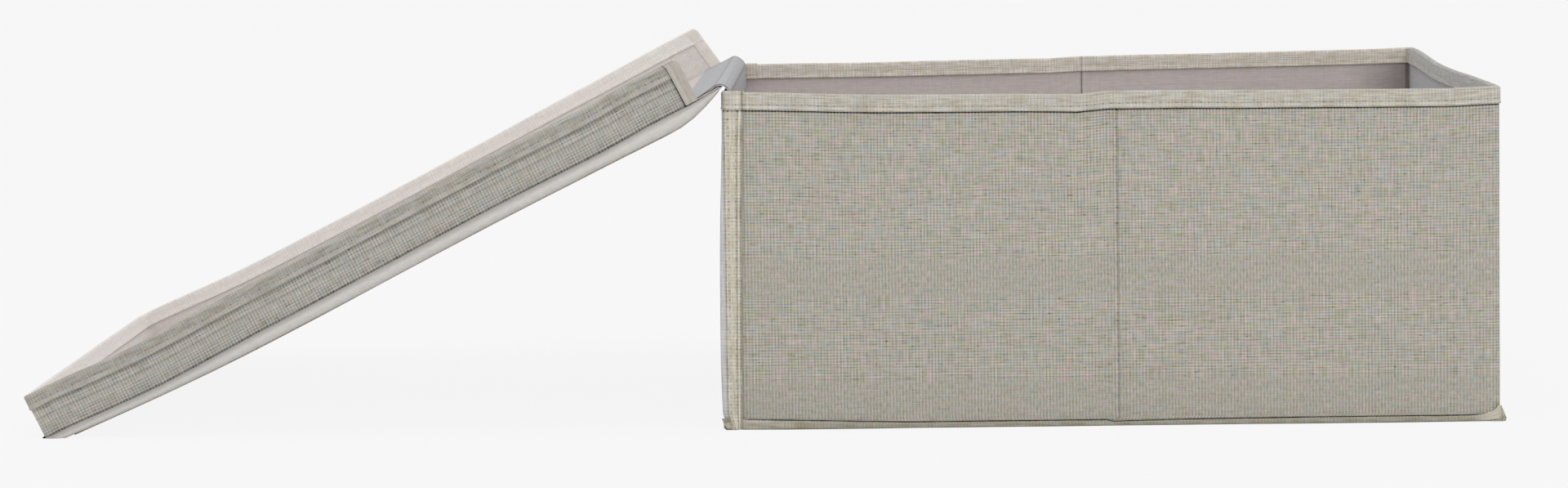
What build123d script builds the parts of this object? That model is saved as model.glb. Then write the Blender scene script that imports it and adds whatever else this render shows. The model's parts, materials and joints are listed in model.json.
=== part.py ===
from build123d import *
import math
import os

# Folding storage box of cloth over grey board, with a hinged lid that has lips on three sides.
# Millimetres. The origin is the middle of the underside, +Z is up, +X points at the front wall,
# -X at the hinge wall, and -Y at the near side wall.
# The rest pose is the open one: the lid is swung over the hinge wall and leans with its front
# edge on the surface that the box stands on.

# Box, outside the cloth
length = 400.0
width = 420.0
height = 174.0

# Walls: board between an outer cover and a lining
board_t = 2.0
cover_t = 0.6
lining_t = 0.4
board_end_room = 1.0
front_corner_r = 2.5

# Binding tapes
tape_t = 0.7
rim_tape_h = 9.0
rim_round_r = 0.6
corner_tape_w = 10.0
corner_tape_r = 1.0

# Bottom
binding_h = 4.0
binding_w = 6.0
binding_out = 1.2
binding_ear = 3.5
binding_round_r = 1.2
bottom_cloth_t = 0.8

# Loose base board
base_board_t = 2.4
base_wrap_t = 0.4
base_side_room = 1.5
base_corner_r = 2.0

# Lid panel
lid_t = 9.0
lid_cover_t = 0.8
lid_board_t = 2.5
lid_overhang = 2.0
lid_low_r = 1.8
lid_top_r = 5.0
lid_corner_r = 5.0
lid_front_taper = 25.0
lid_rear_taper = 26.0
lid_rear_edge_t = 0.8
lid_board_setback = 14.0
lid_board_room = 3.0

# Lid lips
lip_drop = 24.0
stiffener_t = 1.5
lip_cover_t = 0.5
lip_setback = 17.0
hem_t = 0.5
hem_h = 8.0
lip_end_tape_w = 6.0
lip_corner_r = 2.0

# Cloth hinge
hinge_rise = 3.1
hinge_fold_r = 2.0
hinge_fold_t = 0.7
hinge_fold_arc = 160.0
hinge_fold_side = 58.0
hinge_end_room = 6.0
hinge_leg_h = 14.0
hinge_leg_rise = 0.6
hinge_strip_w = 28.0

# Clearances
body_gap = 0.4
lid_gap = 0.4
lip_room = 0.6
hinge_side_room = 0.3

# How far a cutting or crossing block reaches past the piece that it shapes
past = 1.0

# Derived places
wall_t = cover_t + board_t + lining_t
wall_in = wall_t + tape_t
wall_low = binding_h + body_gap
half_l = length / 2
half_w = width / 2
hinge_x = -half_l + wall_in + hinge_side_room
hinge_z = height + hinge_rise
lip_in = tape_t + lip_room + hem_t
lip_t = lip_cover_t + stiffener_t + lining_t
lid_low = height + lid_gap
lid_front = half_l + lip_in + lip_t + lid_overhang
lid_side = half_w + lip_in + lip_t + lid_overhang

# The lid leans until its rounded front edge touches the surface that the box stands on.
nose_s = lid_front - lid_overhang - hinge_x
nose_t = hinge_z - lid_low - lid_overhang
lean = math.asin((hinge_z - lid_overhang) / math.hypot(nose_s, nose_t)) + math.atan2(nose_t, nose_s)
open_angle = 180.0 + math.degrees(lean)

# Upright fold axes: at the inner corners, and on the outer face at the side walls' middle creases
corner_axis_x = half_l - wall_in - body_gap / 2
corner_axis_y = half_w - wall_in - body_gap / 2
crease_axis_y = half_w + tape_t + body_gap / 2

parts = {}


def block(x0, x1, y0, y1, z0, z1):
    return Pos((x0 + x1) / 2, (y0 + y1) / 2, (z0 + z1) / 2) * Box(x1 - x0, y1 - y0, z1 - z0)


def upright_edges(solid, y, x_values):
    return [e for e in solid.edges().filter_by(Axis.Z)
            if abs(e.center().Y - y) < 0.01 and min(abs(e.center().X - x) for x in x_values) < 0.01]


# One wall, drawn along X with its outer face at y = 0 and its inside towards +Y
def wall_cover(start, end, low, round_r):
    top = height - tape_t
    cover = block(start, end, 0, cover_t + board_t, low, top)
    if round_r:
        cover = fillet(upright_edges(cover, 0, (start, end)), round_r)
    pocket = block(start + cover_t, end - cover_t, cover_t, wall_t, low + cover_t, height)
    return cover - pocket


def wall_board(start, end, low, round_r):
    room = cover_t + board_end_room + round_r / 2
    top = height - tape_t - board_end_room
    return block(start + room, end - room, cover_t, cover_t + board_t, low + cover_t, top)


def wall_lining(start, end, low):
    return block(start, end, cover_t + board_t, wall_t, low, height - tape_t)


def rim_tape(start, end, wrap, inner_leg, round_r):
    over = tape_t if wrap else 0.0
    inside = wall_in if inner_leg else wall_t
    low = height - rim_tape_h
    tape = block(start - over, end + over, -tape_t, inside, low, height)
    if round_r:
        tape = fillet(upright_edges(tape, -tape_t, (start - over, end + over)), round_r + tape_t)
    core = block(start, end, 0, wall_t, low, height - tape_t)
    if round_r:
        core = fillet(upright_edges(core, 0, (start, end)), round_r)
    tape = fillet(tape.faces().sort_by(Axis.Z)[-1].edges().filter_by(Axis.X), rim_round_r)
    return tape - core


def wall_set(start, end, low, wrap=False, inner_leg=True, round_r=0.0):
    return {
        "board": wall_board(start, end, low, round_r),
        "cover": wall_cover(start, end, low, round_r),
        "lining": wall_lining(start, end, low),
        "rim_tape": rim_tape(start, end, wrap, inner_leg, round_r),
    }


def add_wall(name, pieces, place):
    for kind, piece in pieces.items():
        parts[f"{name}_{kind}"] = place(piece)


def to_near(piece):
    return Pos(0, -half_w, 0) * piece


def to_far(piece):
    return mirror(to_near(piece), about=Plane.XZ)


# Hinge wall, front wall, and the two creased side walls of two panels each
rear_end = half_w + body_gap
add_wall("hinge_wall", wall_set(-rear_end, rear_end, binding_h, wrap=True, inner_leg=False),
         lambda piece: Pos(-half_l, 0, 0) * Rot(0, 0, -90) * piece)
add_wall("front_wall", wall_set(-half_w, half_w, wall_low, wrap=True, round_r=front_corner_r),
         lambda piece: Pos(half_l, 0, 0) * Rot(0, 0, 90) * piece)
side_end = half_l - wall_in - body_gap
rear_panel = wall_set(-side_end, -body_gap / 2, wall_low)
front_panel = wall_set(body_gap / 2, side_end, wall_low)
add_wall("near_rear_panel", rear_panel, to_near)
add_wall("near_front_panel", front_panel, to_near)
add_wall("far_rear_panel", rear_panel, to_far)
add_wall("far_front_panel", front_panel, to_far)


# Tapes up the two corners beside the hinge wall
def corner_tape():
    x0 = -half_l - tape_t
    y0 = -rear_end - tape_t
    top = height - rim_tape_h - body_gap
    tape = block(x0, -half_l + corner_tape_w, y0, -rear_end + corner_tape_w, binding_h, top)
    tape = fillet(upright_edges(tape, y0, (x0,)), corner_tape_r)
    return tape - block(-half_l, half_l, -rear_end, half_w, 0, height)


parts["near_corner_tape"] = corner_tape()
parts["far_corner_tape"] = mirror(corner_tape(), about=Plane.XZ)


# Bottom cloth, and the bound seam round it with its pointed corners
def bottom_binding():
    ear_x = half_l + binding_ear
    ear_y = half_w + binding_ear
    side_x = half_l + binding_out
    side_y = half_w + body_gap + tape_t + binding_out
    outline = Wire([
        ThreePointArc((-ear_x, -ear_y), (0, -side_y), (ear_x, -ear_y)),
        ThreePointArc((ear_x, -ear_y), (side_x, 0), (ear_x, ear_y)),
        ThreePointArc((ear_x, ear_y), (0, side_y), (-ear_x, ear_y)),
        ThreePointArc((-ear_x, ear_y), (-side_x, 0), (-ear_x, -ear_y)),
    ])
    ring = extrude(Face(outline), amount=binding_h)
    ring = fillet(ring.faces().sort_by(Axis.Z)[-1].edges(), binding_round_r)
    return ring - block(-half_l + binding_w, half_l - binding_w,
                        -half_w + binding_w, half_w - binding_w, 0, binding_h)


parts["bottom_binding"] = bottom_binding()
parts["bottom_cover"] = block(-half_l + binding_w, half_l - binding_w,
                              -half_w + binding_w, half_w - binding_w, 0, bottom_cloth_t)


# Loose base board, wrapped in lining cloth
def base_slab(inset, low, high):
    room = binding_w + base_side_room + inset
    slab = block(-half_l + room, half_l - room, -half_w + room, half_w - room, low, high)
    return fillet(slab.edges().filter_by(Axis.Z), base_corner_r)


base_low = bottom_cloth_t + base_wrap_t
base_high = base_low + base_board_t
parts["base_board"] = base_slab(base_wrap_t, base_low, base_high)
parts["base_wrap"] = base_slab(0, bottom_cloth_t, base_high + base_wrap_t) - parts["base_board"]


# The lid is drawn shut, and turned open about the cloth hinge at the end.
# Its panel is a side profile, a cross profile and a plan with round corners, all met together.
lid_rear = hinge_x + hinge_fold_r + hinge_side_room


def lid_body(inset, low):
    high = lid_low + lid_t - inset
    rear = lid_rear + inset
    front = lid_front - inset
    side = lid_side - inset
    nose_r = (lid_low + 2 * lid_overhang - inset - low) / 2
    nose_x = front - nose_r
    taper_x = lid_front - lid_front_taper
    shoulder_x = lid_rear + lid_rear_taper
    profile = Wire([
        Line((rear, low), (nose_x, low)),
        ThreePointArc((nose_x, low), (front, low + nose_r), (nose_x, low + 2 * nose_r)),
        Line((nose_x, low + 2 * nose_r), (taper_x, high)),
        Line((taper_x, high), (shoulder_x, high)),
        TangentArc((shoulder_x, high), (rear, low + lid_rear_edge_t), tangent=(-1, 0)),
        Line((rear, low + lid_rear_edge_t), (rear, low)),
    ])
    body = extrude(Plane.XZ.offset(-side - past) * Face(profile), amount=2 * (side + past))
    slab = block(rear - past, front + past, -side, side, low, high)
    across = fillet(slab.faces().sort_by(Axis.Z)[-1].edges().filter_by(Axis.X), lid_top_r - inset)
    across = fillet(across.faces().sort_by(Axis.Z)[0].edges().filter_by(Axis.X), lid_low_r - inset)
    plan = block(rear - past, front, -side, side, low, high)
    plan = fillet(plan.edges().filter_by(Axis.Z).group_by(Axis.X)[-1], lid_corner_r - inset)
    return body & across & plan


lid_parts = {}
lining_top = lid_low + lining_t
board_top = lining_top + lid_board_t
lip_inner_x = half_l + lip_in
lip_inner_y = half_w + lip_in
lip_outer_x = lip_inner_x + lip_t
lip_outer_y = lip_inner_y + lip_t
strip_end_x = hinge_x + hinge_strip_w
strip_half_w = half_w - hinge_end_room
lid_parts["lid_lining"] = block(strip_end_x, lip_inner_x, -lip_inner_y, lip_inner_y, lid_low, lining_top)
lid_parts["hinge_strip_lid_leg"] = block(lid_rear, strip_end_x, -strip_half_w, strip_half_w,
                                         lid_low, lining_top)
lid_inside = lid_body(lid_cover_t, lining_top)
lid_cover = lid_body(0, lid_low) - lid_inside
lid_parts["lid_cover"] = lid_cover - lid_parts["lid_lining"] - lid_parts["hinge_strip_lid_leg"]
lid_parts["lid_board"] = block(hinge_x + lid_board_setback, lip_outer_x - lid_board_room,
                               -lip_outer_y + lid_board_room, lip_outer_y - lid_board_room,
                               lining_top, board_top)
lid_parts["lid_padding"] = lid_inside - block(-lid_front, lid_front, -lid_side, lid_side,
                                              lining_top - past, board_top)

# Lips: a stiffener in a cloth cover, closed by a lining, with a hem tape over the free edge
lip_free = lid_low - lip_drop
lip_low = lip_free + hem_t
lip_start = hinge_x + lip_setback


def lip_pieces(start, end, round_r):
    outer = block(start, end, -lip_t, 0, lip_low, lid_low)
    if round_r:
        outer = fillet(upright_edges(outer, -lip_t, (start, end)), round_r)
    pocket = block(start + lip_cover_t, end - lip_cover_t, -lip_t + lip_cover_t, 0,
                   lip_low + lip_cover_t, lid_low - lip_cover_t)
    lining = block(start + lip_cover_t, end - lip_cover_t, -lining_t, 0,
                   lip_low + lip_cover_t, lid_low - lip_cover_t)
    room = lip_cover_t + board_end_room + round_r / 2
    stiffener = block(start + room, end - room, -lip_t + lip_cover_t, -lining_t,
                      lip_low + lip_cover_t, lid_low - lip_cover_t)
    return outer, {"cover": outer - pocket, "lining": lining, "stiffener": stiffener}


def over_edge(start, end, start_wrap, end_wrap, round_r, core):
    tape = block(start - start_wrap, end + end_wrap, -lip_t - hem_t, hem_t, lip_free, lip_free + hem_h)
    if round_r:
        tape = fillet(upright_edges(tape, -lip_t - hem_t, (start - start_wrap, end + end_wrap)),
                      round_r + hem_t)
    return tape - core


side_core, side_lip = lip_pieces(lip_start, lip_inner_x, 0)
side_lip["hem_tape"] = over_edge(lip_start, lip_inner_x, hem_t, 0, 0, side_core)
side_lip["end_tape"] = block(lip_start - hem_t, lip_start + lip_end_tape_w, -lip_t - hem_t, hem_t,
                             lip_free + hem_h, lid_low) - side_core
for kind, piece in side_lip.items():
    near_piece = Pos(0, -lip_inner_y, 0) * piece
    lid_parts[f"near_lip_{kind}"] = near_piece
    lid_parts[f"far_lip_{kind}"] = mirror(near_piece, about=Plane.XZ)

end_core, end_lip = lip_pieces(-lip_outer_y, lip_outer_y, lip_corner_r)
end_hem = over_edge(-lip_outer_y, lip_outer_y, hem_t, hem_t, lip_corner_r, end_core)
side_hem_y = lip_inner_y - hem_t
for low_y, high_y in ((-lid_side, -side_hem_y), (side_hem_y, lid_side)):
    end_hem = end_hem - block(low_y, high_y, 0, lid_side, lip_free, lid_low)
end_lip["hem_tape"] = end_hem
for kind, piece in end_lip.items():
    lid_parts[f"end_lip_{kind}"] = Pos(lip_inner_x, 0, 0) * Rot(0, 0, 90) * piece

hinge_line = Axis((hinge_x, 0, hinge_z), (0, 1, 0))
for name, piece in lid_parts.items():
    parts[name] = piece.rotate(hinge_line, -open_angle)


# Cloth hinge: a leg on the hinge wall's inner face, and a fold whose two halves both turn by half the
# lid's swing, so that they always meet. The leg on the lid's inner face is drawn with the lid.
def ring_point(radius, degrees):
    turn = math.radians(degrees)
    return (hinge_x + radius * math.cos(turn), hinge_z + radius * math.sin(turn))


def hinge_fold(first, last):
    middle = (first + last) / 2
    outer = [ring_point(hinge_fold_r, turn) for turn in (first, middle, last)]
    inner = [ring_point(hinge_fold_r - hinge_fold_t, turn) for turn in (last, middle, first)]
    section = Wire([
        ThreePointArc(*outer),
        Line(outer[-1], inner[0]),
        ThreePointArc(*inner),
        Line(inner[-1], outer[0]),
    ])
    return extrude(Plane.XZ.offset(-strip_half_w) * Face(section), amount=2 * strip_half_w)


half_arc = hinge_fold_arc / 2
parts["hinge_strip_wall_fold"] = hinge_fold(hinge_fold_side - half_arc, hinge_fold_side)
parts["hinge_strip_lid_fold"] = hinge_fold(hinge_fold_side, hinge_fold_side + half_arc)
parts["hinge_strip_wall_leg"] = block(-half_l + wall_t, -half_l + wall_in, -strip_half_w, strip_half_w,
                                      height - hinge_leg_h, height + hinge_leg_rise)

os.makedirs("parts", exist_ok=True)
for name, piece in parts.items():
    piece.label = name
    export_step(piece, f"parts/{name}.step")

print("hinge line x, z", round(hinge_x, 3), round(hinge_z, 3), "open angle", round(open_angle, 4))
print("corner axes x, y", round(corner_axis_x, 3), round(corner_axis_y, 3))
print("crease axis y", round(crease_axis_y, 3))
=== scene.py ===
import json
import math

import bmesh
import bpy
from mathutils import Matrix, Vector, noise
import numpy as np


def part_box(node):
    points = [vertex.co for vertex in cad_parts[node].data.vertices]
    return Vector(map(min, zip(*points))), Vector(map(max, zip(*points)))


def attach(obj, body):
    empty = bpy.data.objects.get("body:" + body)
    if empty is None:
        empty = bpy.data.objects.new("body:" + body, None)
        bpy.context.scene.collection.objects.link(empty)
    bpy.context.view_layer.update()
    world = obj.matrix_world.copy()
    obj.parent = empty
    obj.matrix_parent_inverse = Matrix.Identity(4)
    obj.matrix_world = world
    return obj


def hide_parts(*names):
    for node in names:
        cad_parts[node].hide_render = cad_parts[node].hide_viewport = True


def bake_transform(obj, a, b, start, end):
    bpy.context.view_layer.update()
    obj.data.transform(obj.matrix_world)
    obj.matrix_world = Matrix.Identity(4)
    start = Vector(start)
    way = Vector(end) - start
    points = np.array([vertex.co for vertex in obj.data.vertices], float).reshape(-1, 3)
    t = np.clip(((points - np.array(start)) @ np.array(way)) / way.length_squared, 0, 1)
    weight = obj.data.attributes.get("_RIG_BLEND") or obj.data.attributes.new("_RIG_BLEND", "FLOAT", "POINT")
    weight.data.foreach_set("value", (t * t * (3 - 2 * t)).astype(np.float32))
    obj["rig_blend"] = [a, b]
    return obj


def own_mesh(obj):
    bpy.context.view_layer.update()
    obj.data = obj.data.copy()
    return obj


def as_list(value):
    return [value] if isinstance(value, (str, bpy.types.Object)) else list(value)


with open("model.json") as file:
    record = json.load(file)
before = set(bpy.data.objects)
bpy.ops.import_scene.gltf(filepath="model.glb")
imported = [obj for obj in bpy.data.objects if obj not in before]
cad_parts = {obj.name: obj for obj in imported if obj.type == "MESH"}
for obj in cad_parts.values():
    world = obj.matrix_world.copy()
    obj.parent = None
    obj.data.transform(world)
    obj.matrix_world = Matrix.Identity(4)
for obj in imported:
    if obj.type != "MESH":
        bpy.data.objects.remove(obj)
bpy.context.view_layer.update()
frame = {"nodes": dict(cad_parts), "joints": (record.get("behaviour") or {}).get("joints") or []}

MM = 0.001

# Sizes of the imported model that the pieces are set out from
HALF_L, HALF_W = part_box("front_wall_cover")[1].xy
RIM_LOW, RIM_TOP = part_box("front_wall_rim_tape")[0].z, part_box("front_wall_rim_tape")[1].z
WALL_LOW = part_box("front_wall_cover")[0].z
WALL_T = HALF_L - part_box("front_wall_lining")[0].x
SIDE_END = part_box("near_front_panel_cover")[1].x
HINGE_WALL_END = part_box("hinge_wall_cover")[1].y
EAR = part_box("bottom_binding")[1]
CORNER_TAPE_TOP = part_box("near_corner_tape")[1].z
WORD = {-1: "near", 1: "far"}

# The lid's hinge line and its swing from the open rest pose to shut
swing = next(joint for joint in frame["joints"] if joint["name"] == "lid_swing")
HINGE = Vector(swing["pos_m"])
OPEN_ANGLE = math.radians(swing["range_deg"][1])
OPENING = Matrix.Translation(HINGE) @ Matrix.Rotation(-OPEN_ANGLE, 4, "Y") @ Matrix.Translation(-HINGE)

# Cloth, and how thick it is for each of the record's slots
CLOTH_T = 0.6 * MM
LINING_T = 0.4 * MM
TAPE_T = 0.7 * MM
HINGE_CLOTH_T = 0.7 * MM
THICKNESS = {"linen_cloth": CLOTH_T, "bottom_cloth": CLOTH_T, "lining_cloth": LINING_T,
        "binding_tape": TAPE_T, "hinge_cloth": HINGE_CLOTH_T}
STEP = 8 * MM
STITCH = 4.2 * MM
BUMP = 0.05 * MM


# Selecting and shaping by hand

def select(piece):
    bpy.ops.object.select_all(action="DESELECT")
    piece.select_set(True)
    bpy.context.view_layer.objects.active = piece


def start_edit(piece):
    select(piece)
    bpy.ops.object.mode_set(mode="EDIT")


def end_edit():
    bpy.ops.object.mode_set(mode="OBJECT")


def round_edges(piece, radius, segments, wanted):
    """Rounds the edges whose middle and direction pass the test."""
    bpy.ops.mesh.select_mode(type="EDGE")
    bpy.ops.mesh.select_all(action="DESELECT")
    mesh = bmesh.from_edit_mesh(piece.data)
    for edge in mesh.edges:
        here, there = (vert.co for vert in edge.verts)
        edge.select_set(wanted((here + there) / 2, (there - here).normalized()))
    bmesh.update_edit_mesh(piece.data)
    bpy.ops.mesh.bevel(offset=radius, segments=segments)


def apply_modifier(piece, kind, **settings):
    select(piece)
    modifier = piece.modifiers.new(kind.title(), kind)
    for name, value in settings.items():
        setattr(modifier, name, value)
    bpy.ops.object.modifier_apply(modifier=modifier.name)


def smooth(piece, degrees=40):
    select(piece)
    bpy.ops.object.shade_smooth_by_angle(angle=math.radians(degrees))


def between(low, high, step):
    """Evenly spaced places inside a stretch, about a step apart."""
    count = max(1, round(abs(high - low) / step))
    return [low + (high - low) * i / count for i in range(1, count)]


def slice_up(piece, axis, places):
    """Cuts the whole piece across an axis at these places, so that it can bend there."""
    direction = Vector((axis == 0, axis == 1, axis == 2))
    start_edit(piece)
    for place in places:
        bpy.ops.mesh.select_all(action="SELECT")
        bpy.ops.mesh.bisect(plane_co=direction * place, plane_no=direction)
    end_edit()


def block(name, low, high, steps=()):
    """A block between two corners, placed in its mesh and cut across x, y and z at about these steps."""
    low, high = Vector(low), Vector(high)
    bpy.ops.mesh.primitive_cube_add(size=1, location=(low + high) / 2, scale=high - low)
    bpy.ops.object.transform_apply(location=True, rotation=False, scale=True)
    piece = bpy.context.object
    piece.name = name
    for axis, step in enumerate(steps):
        slice_up(piece, axis, between(low[axis], high[axis], step))
    return piece


def ripple(piece, amount, size, seed=0.0):
    """Small unevenness of sewn cloth: every point moves a little along its normal."""
    shift = Vector((seed, 2 * seed, 3 * seed))
    mesh = piece.data
    moves = [vert.normal * amount * noise.noise(vert.co / size + shift) for vert in mesh.vertices]
    for vert, move in zip(mesh.vertices, moves):
        vert.co += move
    mesh.update()


def reshape(piece, *changes):
    """Moves every point by each change in turn, for a bow, a bulge or a lean."""
    for change in changes:
        for vert in piece.data.vertices:
            vert.co = change(vert.co.copy())
    piece.data.update()


def lay_weave(piece):
    """Notes along and across the cloth on a piece that wasn't drawn out, by the way each point faces."""
    along = piece.data.attributes.new("along", "FLOAT", "POINT")
    across = piece.data.attributes.new("across", "FLOAT", "POINT")
    for vert in piece.data.vertices:
        along.data[vert.index].value = vert.co.x
        across.data[vert.index].value = vert.co.y + (vert.co.z if vert.co.y > 0 else -vert.co.z)


# Cloth that is drawn out: a bent line is one end of a strip, and the strip grows from it.
# Each point remembers how far along and across the cloth it lies, which the weave follows.

def strip_end(name, points, along):
    bpy.ops.mesh.primitive_plane_add(size=MM)
    piece = bpy.context.object
    piece.name = name
    bpy.ops.object.mode_set(mode="EDIT")
    bpy.ops.mesh.select_mode(type="VERT")
    bpy.ops.mesh.select_all(action="SELECT")
    bpy.ops.mesh.merge(type="CENTER")
    bpy.ops.transform.translate(value=points[0])
    for here, there in zip(points, points[1:]):
        bpy.ops.mesh.extrude_region_move(TRANSFORM_OT_translate={"value": there - here})
    mesh = bmesh.from_edit_mesh(piece.data)
    across_layer = mesh.verts.layers.float.new("across")
    along_layer = mesh.verts.layers.float.new("along")
    across = 0.0
    for vert, here, before in zip(mesh.verts, points, [points[0], *points]):
        across += (here - before).length
        vert[across_layer] = across
        vert[along_layer] = along
    bmesh.update_edit_mesh(piece.data)
    bpy.ops.mesh.select_all(action="SELECT")
    return piece


def note_length(piece, length):
    mesh = bmesh.from_edit_mesh(piece.data)
    layer = mesh.verts.layers.float["along"]
    for vert in mesh.verts:
        if vert.select:
            vert[layer] += length
    bmesh.update_edit_mesh(piece.data)


def go(x=0, y=0, z=0, step=STEP):
    """One straight leg of a strip's way, in lengths of about a step."""
    move = Vector((x, y, z))
    count = max(1, round(move.length / step))

    def draw(piece):
        for _ in range(count):
            bpy.ops.mesh.extrude_region_move(TRANSFORM_OT_translate={"value": move / count})
            note_length(piece, move.length / count)
        return move.length
    return draw


def turn(x, y, degrees, radius, steps=5):
    """One turn of a strip's way round an upright line, as at a corner. Spin counts clockwise."""
    angle = -math.radians(degrees) / steps

    def draw(piece):
        for _ in range(steps):
            bpy.ops.mesh.spin(steps=1, angle=angle, center=(x, y, 0), axis=(0, 0, 1))
            note_length(piece, abs(angle) * radius)
        return abs(angle) * steps * radius
    return draw


def upright(x, y, high, low=WALL_LOW, step=20 * MM):
    """The points of an upright end of a strip."""
    return [(x, y, z) for z in [low, *between(low, high, step), high]]


def level(x, y, z, count):
    """The points of a level end of a strip, which goes across from -y to y."""
    return [(x, y * place / count, z) for place in range(-count, count + 1)]


def folded_tape(out, inner, heights, top, soft):
    """The section of a tape folded over an edge, as (distance in, height): a leg with a rolled end, whose
    five points have these heights, the soft fold, and the same leg on the other side."""
    turn_up = math.copysign(soft, heights[-1] - top)
    leg = list(zip((0.1 * MM, -0.25 * MM, -0.25 * MM, 0, 0), heights))
    leg += [(0, top + turn_up), (0.3 * soft, top + 0.3 * turn_up), (soft, top)]
    return [(out + aside, z) for aside, z in leg] + [(inner - aside, z) for aside, z in reversed(leg)]


def strip(name, end, way, thickness, along=0.0, uneven=0.2 * MM, seed=0.0, changes=()):
    """A strip of cloth drawn out from its end along its way, a little uneven, and changed, then given its
    thickness, half to each side."""
    end = [Vector(point) for point in end]
    piece = strip_end(name, end, along)
    length = sum(leg(piece) for leg in way)
    end_edit()
    sum((there - here).length for here, there in zip(end, end[1:]))
    ripple(piece, uneven, 45 * MM, seed)
    reshape(piece, *changes)
    apply_modifier(piece, "SOLIDIFY", thickness=thickness, offset=0, use_even_offset=True)
    start_edit(piece)
    bpy.ops.mesh.select_all(action="SELECT")
    bpy.ops.mesh.remove_doubles(threshold=0.001 * MM)
    bpy.ops.mesh.normals_make_consistent(inside=False)
    end_edit()
    smooth(piece)
    return piece


# Finishes, each with the record's slot that it belongs to

def colour(red, green, blue):
    """A colour given as it looks on a screen, 0 to 255, as the shader wants it."""
    def linear(value):
        value /= 255
        return value / 12.92 if value <= 0.04045 else ((value + 0.055) / 1.055) ** 2.4
    return (linear(red), linear(green), linear(blue), 1.0)


class Signal:
    """The output of a shader node, so that sums on it read as sums."""

    def __init__(self, finish, socket):
        self.finish = finish
        self.socket = socket

    def math(self, operation, *others):
        return self.finish.node("ShaderNodeMath", {"operation": operation}, [self, *others])

    def __add__(self, other):
        return self.math("ADD", other)

    def __sub__(self, other):
        return self.math("SUBTRACT", other)

    def __rsub__(self, other):
        return (self * -1) + other

    def __mul__(self, other):
        return self.math("MULTIPLY", other)

    def __truediv__(self, other):
        return self.math("DIVIDE", other)

    __radd__ = __add__
    __rmul__ = __mul__


class Finish:
    """One material, built up node by node."""

    def __init__(self, name, roughness, sheen=0.0):
        self.material = bpy.data.materials.new(name)
        self.material.use_nodes = True
        self.tree = self.material.node_tree
        self.shader = self.tree.nodes["Principled BSDF"]
        looks = {"Roughness": roughness, "Specular IOR Level": 0.25, "Sheen Weight": sheen,
                "Sheen Roughness": 0.5}
        for look, value in looks.items():
            self.feed(self.shader.inputs[look], value)

    def node(self, kind, settings=None, sockets=(), output=0):
        """Adds a node with its settings, then feeds its sockets with values or signals."""
        node = self.tree.nodes.new(kind)
        for name, value in (settings or {}).items():
            setattr(node, name, value)
        pairs = sockets.items() if isinstance(sockets, dict) else enumerate(sockets)
        for place, value in pairs:
            self.feed(node.inputs[place], value)
        return Signal(self, node.outputs[output])

    def feed(self, socket, value):
        if isinstance(value, Signal):
            self.tree.links.new(value.socket, socket)
        else:
            socket.default_value = value

    def attribute(self, name):
        return self.node("ShaderNodeAttribute", {"attribute_name": name}, output="Fac")

    def noise(self, x, y, z=0.0, detail=1.0):
        """Soft noise from 0 to 1 that changes once per unit of x and y."""
        place = self.node("ShaderNodeCombineXYZ", sockets=[x, y, z])
        return self.node("ShaderNodeTexNoise", sockets={"Vector": place, "Scale": 1.0, "Detail": detail})

    def ramp(self, value, low, high):
        """0 below low, 1 above high, and smooth between."""
        settings = {"interpolation_type": "SMOOTHSTEP"}
        return self.node("ShaderNodeMapRange", settings, {"Value": value, "From Min": low, "From Max": high})

    def line(self, distance, core, wide):
        """1 up to a small distance to both sides of a line, and 0 from a wider one on."""
        return 1 - self.ramp(distance.math("ABSOLUTE"), core, wide)

    def blend(self, share, first, second):
        """A colour between two. The node's sockets for colours are numbers 6 and 7."""
        return self.node("ShaderNodeMix", {"data_type": "RGBA"}, {0: share, 6: first, 7: second}, output=2)

    def shade(self, base, tone):
        """A colour made lighter or darker by a number round 1."""
        grey = self.node("ShaderNodeCombineXYZ", sockets=[tone, tone, tone])
        return self.node("ShaderNodeVectorMath", {"operation": "MULTIPLY"}, [base, grey])

    def end(self, base, height):
        """Feeds the shader with the colour and a bump as deep as threads are."""
        bump = self.node("ShaderNodeBump", sockets={"Strength": 1.0, "Distance": BUMP, "Height": height})
        self.feed(self.shader.inputs["Base Color"], base)
        self.feed(self.shader.inputs["Normal"], bump)
        return self.material


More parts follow.
